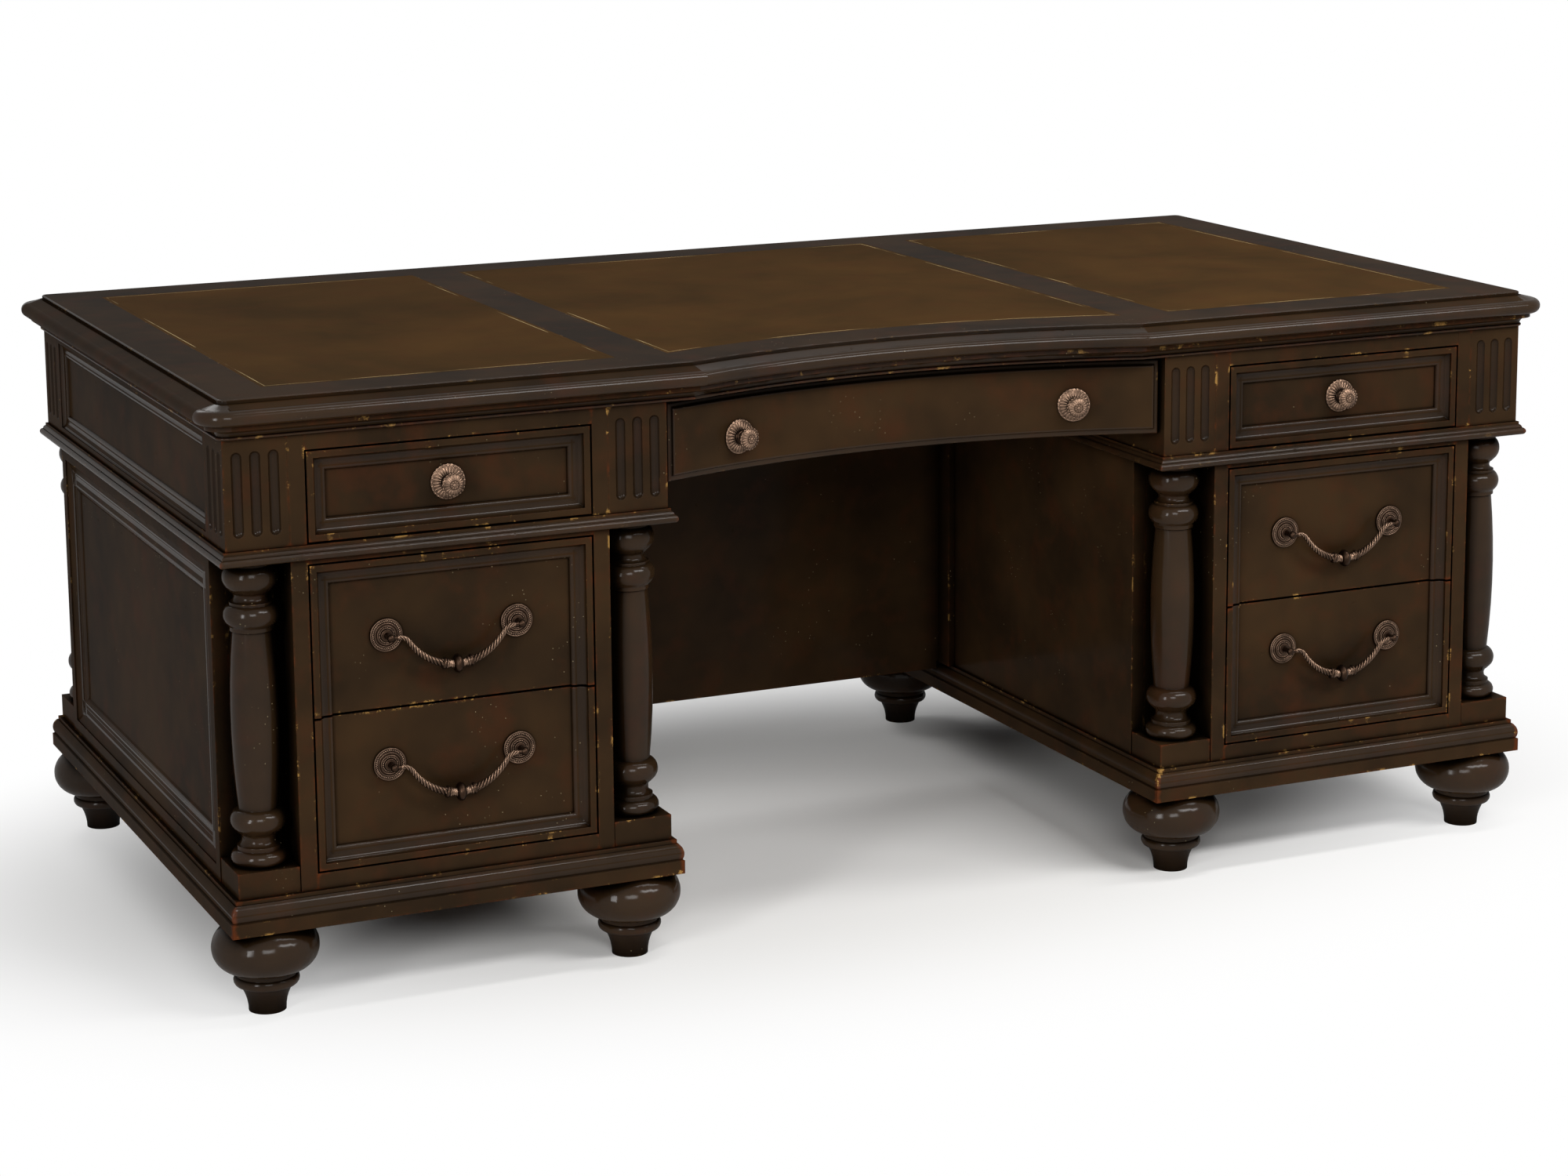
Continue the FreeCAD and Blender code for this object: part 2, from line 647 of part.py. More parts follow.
os.makedirs("parts", exist_ok=True)
for name, solids in nodes.items():
    shape = solids[0] if len(solids) == 1 else Part.makeCompound(solids)
    shape.exportStep(os.path.join("parts", name + ".step"))
print(len(nodes), "nodes,", sum(len(solids) for solids in nodes.values()), "solids")
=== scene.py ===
import json
import math
import bmesh
import bpy
from mathutils import Matrix, Vector


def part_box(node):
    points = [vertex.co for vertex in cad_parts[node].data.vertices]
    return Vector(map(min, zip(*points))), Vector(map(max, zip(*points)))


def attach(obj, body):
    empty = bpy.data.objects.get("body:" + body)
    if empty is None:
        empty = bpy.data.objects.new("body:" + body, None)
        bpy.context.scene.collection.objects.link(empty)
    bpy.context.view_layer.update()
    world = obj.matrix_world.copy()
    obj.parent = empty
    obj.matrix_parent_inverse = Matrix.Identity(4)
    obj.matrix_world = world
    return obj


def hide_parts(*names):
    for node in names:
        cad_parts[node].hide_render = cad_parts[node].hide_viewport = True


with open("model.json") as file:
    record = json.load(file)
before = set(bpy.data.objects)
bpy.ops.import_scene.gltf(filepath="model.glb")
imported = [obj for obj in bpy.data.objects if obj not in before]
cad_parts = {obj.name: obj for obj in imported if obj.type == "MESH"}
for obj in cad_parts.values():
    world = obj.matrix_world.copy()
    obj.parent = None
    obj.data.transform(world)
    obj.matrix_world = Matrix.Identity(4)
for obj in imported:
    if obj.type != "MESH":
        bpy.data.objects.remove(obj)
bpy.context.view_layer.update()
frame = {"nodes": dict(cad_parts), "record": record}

cadNodes = frame["nodes"]
bodyOf = {node: body for body, members in frame["record"]["behaviour"]["bodies"].items() for node in members}
mm = 0.001
print("frame loaded:", len(cadNodes), "nodes")


def colour(code):  # sRGB hex to the linear values that shaders take
    parts = [int(code[place:place + 2], 16) / 255 for place in (1, 3, 5)]
    return tuple(p / 12.92 if p <= 0.04045 else ((p + 0.055) / 1.055) ** 2.4 for p in parts) + (1.0,)


def perMetre(size):  # texture scale for a feature this many millimetres across
    return 1000.0 / size


def addNode(tree, kind, inputs=None, **settings):  # inputs: a socket's name or number to a value or an output
    node = tree.nodes.new(kind)
    for name, value in settings.items():
        setattr(node, name, value)
    for key, value in (inputs or {}).items():
        if isinstance(value, bpy.types.NodeSocket):
            tree.links.new(value, node.inputs[key])
        else:
            node.inputs[key].default_value = value
    return node


def newMaterial(name):
    material = bpy.data.materials.new(name)
    material.use_nodes = True
    tree = material.node_tree
    tree.nodes.clear()
    return material, tree


def closeMaterial(tree, shader):
    addNode(tree, "ShaderNodeOutputMaterial", {"Surface": shader.outputs[0]})


# Distressed black lacquer over stained hardwood: brushed on, rubbed through to red-brown stain and pale
# wood along the arrises, spattered and dented. The eye gets a dark satin brown with olive and red clouds.
lacquer = {
    "dark": "#241a10", "brown": "#332415", "red": "#3d2112", "rub": "#4c2612", "bare": "#94703c", "glaze": "#1c1108",
    # hollow: the near-black of dirt and painted shade laid into hollows and gaps
    "hollow": "#030201", "speck": "#948768",
    "cloud": 170, "blush": 60, "rubSize": 22, "bareSize": 36, "speckSize": 6.5, "speckCluster": 70, "dentSize": 46,
    "wave": 55, "ding": 9, "arris": 1.3, "rubReach": 7, "dirtAndShadeReach": 42, "roughness": (0.28, 0.42),
    "coat": (0.05, 0.27), "glazeShare": 0.28}


def makeLacquer(name, look):
    material, tree = newMaterial(name)
    place = addNode(tree, "ShaderNodeTexCoord").outputs["Object"]
    cloud = addNode(tree, "ShaderNodeTexNoise", {"Vector": place, "Scale": perMetre(look["cloud"]), "Detail": 3.0,
                                                 "Roughness": 0.6})
    cloudy = addNode(tree, "ShaderNodeMapRange", {0: cloud.outputs[0], 1: 0.36, 2: 0.66})
    base = addNode(tree, "ShaderNodeMix", {0: cloudy.outputs[0], 6: colour(look["dark"]), 7: colour(look["brown"])},
                   data_type="RGBA")
    blush = addNode(tree, "ShaderNodeTexNoise", {"Vector": place, "Scale": perMetre(look["blush"]), "Detail": 4.0,
                                                 "Roughness": 0.62})
    blushed = addNode(tree, "ShaderNodeMapRange", {0: blush.outputs[0], 1: 0.50, 2: 0.74, 4: 0.5})
    base = addNode(tree, "ShaderNodeMix", {0: blushed.outputs[0], 6: base.outputs[2], 7: colour(look["red"])},
                   data_type="RGBA")
    # black glaze wiped off the flats and left on the mouldings
    worked = addNode(tree, "ShaderNodeAttribute", attribute_name="worked")
    glazed = addNode(tree, "ShaderNodeMath", {0: worked.outputs["Fac"], 1: look["glazeShare"]}, operation="MULTIPLY")
    base = addNode(tree, "ShaderNodeMix", {0: glazed.outputs[0], 6: base.outputs[2], 7: colour(look["glaze"])},
                   data_type="RGBA")
    # wear: how near an outer edge is, broken up by noise
    edge = addNode(tree, "ShaderNodeAmbientOcclusion", {"Distance": look["rubReach"] * mm}, samples=8, inside=True,
                   only_local=True)
    near = addNode(tree, "ShaderNodeMath", {0: 1.0, 1: edge.outputs["AO"]}, operation="SUBTRACT")
    rubNoise = addNode(tree, "ShaderNodeTexNoise", {"Vector": place, "Scale": perMetre(look["rubSize"]),
                                                    "Detail": 5.0, "Roughness": 0.68})
    rub = addNode(tree, "ShaderNodeMath", {0: near.outputs[0], 1: rubNoise.outputs[0]}, operation="MULTIPLY")
    rubbed = addNode(tree, "ShaderNodeMapRange", {0: rub.outputs[0], 1: 0.23, 2: 0.34}, interpolation_type="SMOOTHSTEP")
    base = addNode(tree, "ShaderNodeMix", {0: rubbed.outputs[0], 6: base.outputs[2], 7: colour(look["rub"])},
                   data_type="RGBA")
    bareNoise = addNode(tree, "ShaderNodeTexNoise", {"Vector": place, "Scale": perMetre(look["bareSize"]),
                                                     "Detail": 7.0, "Roughness": 0.74})
    bareSpots = addNode(tree, "ShaderNodeMapRange", {0: bareNoise.outputs[0], 1: 0.53, 2: 0.63})
    bare = addNode(tree, "ShaderNodeMath", {0: near.outputs[0], 1: bareSpots.outputs[0]}, operation="MULTIPLY")
    bared = addNode(tree, "ShaderNodeMapRange", {0: bare.outputs[0], 1: 0.26, 2: 0.42}, interpolation_type="SMOOTHSTEP")
    base = addNode(tree, "ShaderNodeMix", {0: bared.outputs[0], 6: base.outputs[2], 7: colour(look["bare"])},
                   data_type="RGBA")
    # dirt and painted shade in the hollows of the mouldings and the gaps between boards: occlusion darkens them towards
    # near-black
    inner = addNode(tree, "ShaderNodeAmbientOcclusion", {"Distance": look["dirtAndShadeReach"] * mm}, samples=10)
    hollow = addNode(tree, "ShaderNodeMapRange", {0: inner.outputs["AO"], 1: 0.94, 2: 0.42, 4: 0.96})
    base = addNode(tree, "ShaderNodeMix", {0: hollow.outputs[0], 6: base.outputs[2], 7: colour(look["hollow"])},
                   data_type="RGBA")
    # spatter: clusters of tiny pale dots
    speck = addNode(tree, "ShaderNodeTexVoronoi", {"Vector": place, "Scale": perMetre(look["speckSize"])})
    dot = addNode(tree, "ShaderNodeMapRange", {0: speck.outputs["Distance"], 1: 0.10, 2: 0.05})
    pick = addNode(tree, "ShaderNodeSeparateColor", {0: speck.outputs["Color"]})
    picked = addNode(tree, "ShaderNodeMath", {0: pick.outputs[0], 1: 0.35}, operation="GREATER_THAN")
    cluster = addNode(tree, "ShaderNodeTexNoise", {"Vector": place, "Scale": perMetre(look["speckCluster"]), "Detail": 1.0})
    clustered = addNode(tree, "ShaderNodeMapRange", {0: cluster.outputs[0], 1: 0.62, 2: 0.65})
    dot = addNode(tree, "ShaderNodeMath", {0: dot.outputs[0], 1: picked.outputs[0]}, operation="MULTIPLY")
    dot = addNode(tree, "ShaderNodeMath", {0: dot.outputs[0], 1: clustered.outputs[0]}, operation="MULTIPLY")
    base = addNode(tree, "ShaderNodeMix", {0: dot.outputs[0], 6: base.outputs[2], 7: colour(look["speck"])},
                   data_type="RGBA")
    low, high = look["roughness"]
    rough = addNode(tree, "ShaderNodeMapRange", {0: rubNoise.outputs[0], 1: 0.3, 2: 0.7, 3: low, 4: high})
    # hand-rubbed arrises, a slow wave and small dents catch the light
    arris = addNode(tree, "ShaderNodeBevel", {"Radius": look["arris"] * mm}, samples=6)
    wave = addNode(tree, "ShaderNodeTexNoise", {"Vector": place, "Scale": perMetre(look["wave"]), "Detail": 2.0})
    waved = addNode(tree, "ShaderNodeBump", {"Strength": 0.35, "Distance": 0.8 * mm, "Height": wave.outputs[0],
                                             "Normal": arris.outputs[0]})
    # dings along the edges break their highlights into glints
    ding = addNode(tree, "ShaderNodeTexNoise", {"Vector": place, "Scale": perMetre(look["ding"]), "Detail": 2.0})
    dinged = addNode(tree, "ShaderNodeBump", {"Strength": near.outputs[0], "Distance": 1.0 * mm, "Height": ding.outputs[0],
                                              "Normal": waved.outputs[0]})
    dent = addNode(tree, "ShaderNodeTexVoronoi", {"Vector": place, "Scale": perMetre(look["dentSize"])})
    pit = addNode(tree, "ShaderNodeMapRange", {0: dent.outputs["Distance"], 1: 0.02, 2: 0.07},
                  interpolation_type="SMOOTHSTEP")
    pitted = addNode(tree, "ShaderNodeBump", {"Strength": 0.5, "Distance": 0.8 * mm, "Height": pit.outputs[0],
                                              "Normal": dinged.outputs[0]})
    # wax shines on the mouldings and turnings, which hands rub, more than on the flats
    flatCoat, workedCoat = look["coat"]
    waxed = addNode(tree, "ShaderNodeMapRange", {0: worked.outputs["Fac"], 3: flatCoat, 4: workedCoat})
    # the coat thins where the dirt and painted shade lie, so reflections there dim as well
    awayFromDirtAndShade = addNode(tree, "ShaderNodeMapRange", {0: hollow.outputs[0], 2: 0.8, 3: 1.0, 4: 0.12})
    coat = addNode(tree, "ShaderNodeMath", {0: waxed.outputs[0], 1: awayFromDirtAndShade.outputs[0]}, operation="MULTIPLY")
    shader = addNode(tree, "ShaderNodeBsdfPrincipled", {
        "Base Color": base.outputs[2], "Roughness": rough.outputs[0], "Normal": pitted.outputs[0],
        "Specular IOR Level": 0.0, "Coat Weight": coat.outputs[0], "Coat Roughness": 0.15,
        "Coat Normal": pitted.outputs[0]})
    closeMaterial(tree, shader)
    return material


# Waxed cowhide, hand-stained: cloudy warm brown, a close pebble grain and a soft wax shine
leather = {"low": "#3a2913", "high": "#4d3519", "warm": "#482c16", "cloud": 260, "stain": 60, "grain": 2.6,
           "line": "#b39d70", "lineInset": 5.0, "lineWidth": 1.4, "lineDepth": 0.3}


def makeLeather(name, look):
    material, tree = newMaterial(name)
    place = addNode(tree, "ShaderNodeTexCoord").outputs["Object"]
    cloud = addNode(tree, "ShaderNodeTexNoise", {"Vector": place, "Scale": perMetre(look["cloud"]), "Detail": 4.0,
                                                 "Roughness": 0.6, "Distortion": 0.4})
    cloudy = addNode(tree, "ShaderNodeMapRange", {0: cloud.outputs[0], 1: 0.33, 2: 0.68})
    base = addNode(tree, "ShaderNodeMix", {0: cloudy.outputs[0], 6: colour(look["low"]), 7: colour(look["high"])},
                   data_type="RGBA")
    stain = addNode(tree, "ShaderNodeTexNoise", {"Vector": place, "Scale": perMetre(look["stain"]), "Detail": 5.0,
                                                 "Roughness": 0.65})
    stained = addNode(tree, "ShaderNodeMapRange", {0: stain.outputs[0], 1: 0.48, 2: 0.78, 4: 0.6})
    base = addNode(tree, "ShaderNodeMix", {0: stained.outputs[0], 6: base.outputs[2], 7: colour(look["warm"])},
                   data_type="RGBA")
    # the tooled border line, worn away in places
    line = addNode(tree, "ShaderNodeAttribute", attribute_name="tooled")
    worn = addNode(tree, "ShaderNodeTexNoise", {"Vector": place, "Scale": perMetre(120), "Detail": 4.0})
    kept = addNode(tree, "ShaderNodeMapRange", {0: worn.outputs[0], 1: 0.44, 2: 0.58})
    lined = addNode(tree, "ShaderNodeMath", {0: line.outputs["Fac"], 1: kept.outputs[0]}, operation="MULTIPLY")
    base = addNode(tree, "ShaderNodeMix", {0: lined.outputs[0], 6: base.outputs[2], 7: colour(look["line"])},
                   data_type="RGBA")
    # pebble grain, drawn about twice its real size so that it shows
    grain = addNode(tree, "ShaderNodeTexVoronoi", {"Vector": place, "Scale": perMetre(look["grain"])},
                    feature="SMOOTH_F1")
    bump = addNode(tree, "ShaderNodeBump", {"Strength": 0.22, "Distance": 0.3 * mm, "Height": grain.outputs["Distance"]})
    rough = addNode(tree, "ShaderNodeMapRange", {0: stain.outputs[0], 1: 0.3, 2: 0.7, 3: 0.50, 4: 0.66})
    shader = addNode(tree, "ShaderNodeBsdfPrincipled", {
        "Base Color": base.outputs[2], "Roughness": rough.outputs[0], "Normal": bump.outputs[0],
        "Specular IOR Level": 0.0, "Coat Weight": 0.04, "Coat Roughness": 0.4})
    closeMaterial(tree, shader)
    return material


# Cast copper, oil-darkened and rubbed: brown-black in the hollows, pink-copper where hands polish it
copper = {"dark": "#0d0805", "body": "#35271e", "bright": "#7d6554", "tarnish": 9}


def makeCopper(name, look):
    material, tree = newMaterial(name)
    place = addNode(tree, "ShaderNodeTexCoord").outputs["Object"]
    edge = addNode(tree, "ShaderNodeAmbientOcclusion", {"Distance": 2.2 * mm}, samples=8, inside=True, only_local=True)
    rubbed = addNode(tree, "ShaderNodeMapRange", {0: edge.outputs["AO"], 1: 0.86, 2: 0.42})
    base = addNode(tree, "ShaderNodeMix", {0: rubbed.outputs[0], 6: colour(look["body"]), 7: colour(look["bright"])},
                   data_type="RGBA")
    tarnish = addNode(tree, "ShaderNodeTexNoise", {"Vector": place, "Scale": perMetre(look["tarnish"]), "Detail": 4.0})
    dull = addNode(tree, "ShaderNodeMapRange", {0: tarnish.outputs[0], 1: 0.45, 2: 0.72, 4: 0.5})
    base = addNode(tree, "ShaderNodeMix", {0: dull.outputs[0], 6: base.outputs[2], 7: colour(look["dark"])},
                   data_type="RGBA")
    inner = addNode(tree, "ShaderNodeAmbientOcclusion", {"Distance": 1.7 * mm}, samples=8, only_local=True)
    hollow = addNode(tree, "ShaderNodeMapRange", {0: inner.outputs["AO"], 1: 0.82, 2: 0.5})
    base = addNode(tree, "ShaderNodeMix", {0: hollow.outputs[0], 6: base.outputs[2], 7: colour(look["dark"])},
                   data_type="RGBA")
    rough = addNode(tree, "ShaderNodeMapRange", {0: tarnish.outputs[0], 1: 0.3, 2: 0.7, 3: 0.26, 4: 0.44})
    shader = addNode(tree, "ShaderNodeBsdfPrincipled", {
        "Base Color": base.outputs[2], "Roughness": rough.outputs[0], "Metallic": 1.0})
    closeMaterial(tree, shader)
    return material


# Sealed hardwood of the drawer boxes, planed: straight grain along each board, broad darker figure, low sheen
drawerWood = {"pale": "#8f6b46", "dark": "#4e3420", "figure": "#6d4a2c", "grain": 3.6, "length": 160, "figureWidth": 30,
              "figureLength": 420}


def makeDrawerWood(name, look):
    material, tree = newMaterial(name)
    place = addNode(tree, "ShaderNodeTexCoord").outputs["Object"]
    # boards that face front or back have their length across the drawer, the others along it
    facing = addNode(tree, "ShaderNodeSeparateXYZ", {0: addNode(tree, "ShaderNodeNewGeometry").outputs["True Normal"]})
    frontal = addNode(tree, "ShaderNodeMath", {0: facing.outputs[1]}, operation="ABSOLUTE")
    frontal = addNode(tree, "ShaderNodeMath", {0: frontal.outputs[0], 1: 0.7}, operation="GREATER_THAN")
    spot = addNode(tree, "ShaderNodeSeparateXYZ", {0: place})
    turned = addNode(tree, "ShaderNodeCombineXYZ", {0: spot.outputs[1], 1: spot.outputs[0], 2: spot.outputs[2]})
    lengthwise = addNode(tree, "ShaderNodeMix", {0: frontal.outputs[0], 4: place, 5: turned.outputs[0]}, data_type="VECTOR")
    fine = addNode(tree, "ShaderNodeMapping", {"Vector": lengthwise.outputs[1], "Scale": (
        perMetre(look["grain"]), perMetre(look["length"]), perMetre(look["grain"]))})
    grain = addNode(tree, "ShaderNodeTexNoise", {"Vector": fine.outputs[0], "Scale": 1.0, "Detail": 4.0,
                                                 "Roughness": 0.6, "Distortion": 0.3})
    broad = addNode(tree, "ShaderNodeMapping", {"Vector": lengthwise.outputs[1], "Scale": (
        perMetre(look["figureWidth"]), perMetre(look["figureLength"]), perMetre(look["figureWidth"]))})
    figure = addNode(tree, "ShaderNodeTexNoise", {"Vector": broad.outputs[0], "Scale": 1.0, "Detail": 3.0,
                                                  "Distortion": 0.8})
    grained = addNode(tree, "ShaderNodeMapRange", {0: grain.outputs[0], 1: 0.28, 2: 0.62})
    base = addNode(tree, "ShaderNodeMix", {0: grained.outputs[0], 6: colour(look["dark"]), 7: colour(look["pale"])},
                   data_type="RGBA")
    figured = addNode(tree, "ShaderNodeMapRange", {0: figure.outputs[0], 1: 0.42, 2: 0.66, 4: 0.75})
    base = addNode(tree, "ShaderNodeMix", {0: figured.outputs[0], 6: base.outputs[2], 7: colour(look["figure"])},
                   data_type="RGBA")
    bump = addNode(tree, "ShaderNodeBump", {"Strength": 0.2, "Distance": 0.2 * mm, "Height": grain.outputs[0]})
    rough = addNode(tree, "ShaderNodeMapRange", {0: grain.outputs[0], 3: 0.42, 4: 0.6})
    shader = addNode(tree, "ShaderNodeBsdfPrincipled", {
        "Base Color": base.outputs[2], "Roughness": rough.outputs[0], "Normal": bump.outputs[0],
        "Specular IOR Level": 0.35})
    closeMaterial(tree, shader)
    return material


# Zinc-plated steel, roll-formed: cool grey with faint lengthwise rolling marks
slideSteel = {"pale": "#a3a5a6", "dark": "#77797c", "mark": 1.2, "length": 90}


def makeSteel(name, look):
    material, tree = newMaterial(name)
    place = addNode(tree, "ShaderNodeTexCoord").outputs["Object"]
    drawn = addNode(tree, "ShaderNodeMapping", {"Vector": place, "Scale": (
        perMetre(look["mark"]), perMetre(look["length"]), perMetre(look["mark"]))})
    marks = addNode(tree, "ShaderNodeTexNoise", {"Vector": drawn.outputs[0], "Scale": 1.0, "Detail": 3.0})
    base = addNode(tree, "ShaderNodeMix", {0: marks.outputs[0], 6: colour(look["dark"]), 7: colour(look["pale"])},
                   data_type="RGBA")
    rough = addNode(tree, "ShaderNodeMapRange", {0: marks.outputs[0], 3: 0.3, 4: 0.45})
    shader = addNode(tree, "ShaderNodeBsdfPrincipled", {
        "Base Color": base.outputs[2], "Roughness": rough.outputs[0], "Metallic": 1.0})
    closeMaterial(tree, shader)
    return material


blackLacquer = makeLacquer("distressedBlackLacquer", lacquer)
waxedLeather = makeLeather("waxedBrownLeather", leather)
oiledCopper = makeCopper("oilRubbedCopper", copper)
sealedWood = makeDrawerWood("sealedDrawerHardwood", drawerWood)
zincSteel = makeSteel("zincPlatedSteel", slideSteel)
print("materials made")


def finishPiece(name, mesh, node, material):  # a piece that stands for a CAD node and rides where it rides
    mesh.materials.clear()
    mesh.materials.append(material)
    piece = bpy.data.objects.new(name, mesh)
    bpy.context.scene.collection.objects.link(piece)
    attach(piece, bodyOf[node])
    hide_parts(node)
    return piece


# Wood with worked edges: the CAD shape, welded so that mouldings and turnings shade smoothly
smoothWood = {"weld": 0.01, "crease": 32, "flat": 600}
workedWood = ["top_slab", "cornice_board", "frieze_back_panels"]
for stem in ("pilaster_blocks", "frieze_side", "waist_board", "side_panel_outer", "back_panel", "base_board", "columns",
             "feet", "top_drawer_front", "upper_drawer_front", "lower_drawer_front"):
    workedWood += [stem + "_left", stem + "_right"]


def flatShaded(mesh):  # large faces keep their own shading, so that only mouldings and turnings look round
    carrier = bpy.data.objects.new("carrier", mesh)
    bpy.context.scene.collection.objects.link(carrier)
    modifier = carrier.modifiers.new("flat", "WEIGHTED_NORMAL")
    modifier.mode = "FACE_AREA"
    modifier.weight = 50
    modifier.keep_sharp = True
    depsgraph = bpy.context.evaluated_depsgraph_get()
    result = bpy.data.meshes.new_from_object(carrier.evaluated_get(depsgraph), preserve_all_data_layers=True,
                                             depsgraph=depsgraph)
    carrier.modifiers.remove(modifier)
    bpy.data.objects.remove(carrier)
    return result


def sharpFlats(work, area):  # outlines each flat over this many square millimetres, and marks what is worked round
    worked = work.faces.layers.float.new("worked")
    seen = set()
    for first in work.faces:
        region = [] if first in seen else [first]
        seen.add(first)
        for face in region:  # grows while it is walked
            for edge in face.edges:
                for other in edge.link_faces:
                    if other not in seen and other.normal.dot(first.normal) > 0.99999:
                        seen.add(other)
                        region.append(other)
        flat = sum(face.calc_area() for face in region) > area * mm * mm
        inside = set(region)
        for face in region:
            face[worked] = 0.0 if flat else 1.0
            for edge in face.edges:
                if flat and any(other not in inside for other in edge.link_faces):
                    edge.smooth = False


def weldedCopy(node, look):
    mesh = cadNodes[node].data.copy()
    work = bmesh.new()
    work.from_mesh(mesh)
    bmesh.ops.remove_doubles(work, verts=work.verts, dist=look["weld"] * mm)
    for face in work.faces:
        face.smooth = True
    for edge in work.edges:
        edge.smooth = edge.calc_face_angle(0.0) < math.radians(look["crease"])
    sharpFlats(work, look["flat"])
    work.to_mesh(mesh)
    work.free()
    return flatShaded(mesh)


for node in workedWood:
    finishPiece(node + ".finished", weldedCopy(node, smoothWood), node, blackLacquer)
print("worked wood:", len(workedWood), "pieces")


# Centre drawer front: bowed with the top's edge, a raised field inside a soft lip
centerFront = {"axis": -1388.87, "face": 992.37, "thickness": 22.0, "columns": 90, "rows": 12,
               "lip": [(0, 6.4), (0.5, 5.2), (1.4, 4.3), (3.0, 3.9), (5.4, 3.8), (6.5, 3.3), (7.3, 2.1), (8.0, 0.9),
                       (8.9, 0.25), (10.2, 0.0)]}


def centerFrontMesh(look):
    low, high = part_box("center_drawer_front")
    edge = [distance for distance, depth in look["lip"]]
    depths = [depth for distance, depth in look["lip"]]

    def stations(start, end, count):  # close together in the lip, even over the field
        first, last = start + edge[-1], end - edge[-1]
        between = [first + (last - first) * step / count for step in range(1, count)]
        return [start + d for d in edge] + between + [end - d for d in reversed(edge)]

    def setback(places, place):  # how far the lip stands back at a station, from that direction alone
        fromEnd = min(place, len(places) - 1 - place)
        return depths[fromEnd] if fromEnd < len(depths) else 0.0

    xs = stations(low.x / mm, high.x / mm, look["columns"])
    zs = stations(low.z / mm, high.z / mm, look["rows"])

    def spot(x, z, back):
        return (x * mm, (look["axis"] + math.sqrt((look["face"] + back) ** 2 - x * x)) * mm, z * mm)

    work = bmesh.new()
    worked = work.faces.layers.float.new("worked")
    front = [[work.verts.new(spot(x, z, max(setback(xs, i), setback(zs, j)))) for j, z in enumerate(zs)]
             for i, x in enumerate(xs)]
    rear = [[work.verts.new(spot(x, z, look["thickness"])) for z in (zs[0], zs[-1])] for x in xs]
    for i in range(len(xs) - 1):
        for j in range(len(zs) - 1):
            face = work.faces.new((front[i][j], front[i + 1][j], front[i + 1][j + 1], front[i][j + 1]))
            inLip = any(setback(xs, i + a) or setback(zs, j + b) for a in (0, 1) for b in (0, 1))
            face[worked] = 1.0 if inLip else 0.0
        work.faces.new((rear[i][0], rear[i][1], rear[i + 1][1], rear[i + 1][0]))
        for j, k in ((0, 0), (-1, 1)):
            work.faces.new((front[i][j], front[i + 1][j], rear[i + 1][k], rear[i][k]))
    for i in (0, -1):
        work.faces.new(front[i] + [rear[i][1], rear[i][0]])
    bmesh.ops.recalc_face_normals(work, faces=work.faces)
    for face in work.faces:
        face.smooth = True
    mesh = bpy.data.meshes.new("centerFront")
    work.to_mesh(mesh)
    work.free()
    mesh.set_sharp_from_angle(angle=math.radians(50))
    return mesh


finishPiece("center_drawer_front.finished", centerFrontMesh(centerFront), "center_drawer_front", blackLacquer)
print("centre front made")


# Leather panels with a tooled line inside their edges
for side in ("left", "center", "right"):
    node = "leather_" + side
    mesh = weldedCopy(node, smoothWood)
    work = bmesh.new()
    work.from_mesh(mesh)
    bmesh.ops.dissolve_limit(work, angle_limit=math.radians(1), verts=work.verts, edges=work.edges)
    tooled = work.faces.layers.float.new("tooled")
    top = max(work.faces, key=lambda face: face.normal.z * face.calc_area())
    for thickness, depth, mark in ((leather["lineInset"], 0, 0), (leather["lineWidth"] / 2, -leather["lineDepth"], 1),
                                   (leather["lineWidth"] / 2, leather["lineDepth"], 1)):
        made = bmesh.ops.inset_region(work, faces=[top], thickness=thickness * mm, depth=depth * mm,
                                      use_even_offset=True)
        for face in made["faces"]:
            face[tooled] = mark
    work.to_mesh(mesh)
    work.free()
    finishPiece(node + ".finished", mesh, node, waxedLeather)
print("leather made")


# Turnings for the pulls: rows as pairs for straight runs and fours for arcs through their first point
def arcThrough(start, middle, end, count):
    (ax, ay), (bx, by), (cx, cy) = start, middle, end
    d = 2 * (ax * (by - cy) + bx * (cy - ay) + cx * (ay - by))
    ux = ((ax * ax + ay * ay) * (by - cy) + (bx * bx + by * by) * (cy - ay) + (cx * cx + cy * cy) * (ay - by)) / d
    uy = ((ax * ax + ay * ay) * (cx - bx) + (bx * bx + by * by) * (ax - cx) + (cx * cx + cy * cy) * (bx - ax)) / d
    radius = math.hypot(ax - ux, ay - uy)
    first, mid, last = (math.atan2(y - uy, x - ux) for x, y in (start, middle, end))
    turn = (last - first) % math.tau
    if (mid - first) % math.tau > turn:
        turn -= math.tau
    return [(ux + radius * math.cos(first + turn * step / count), uy + radius * math.sin(first + turn * step / count))
            for step in range(1, count + 1)]


def profilePoints(rows, arcCount=8):
    points = [rows[0]]
    for row in rows[1:]:
        if len(row) == 2:
            points.append(row)
        else:
            points += arcThrough(points[-1], row[:2], row[2:], arcCount)
    return points


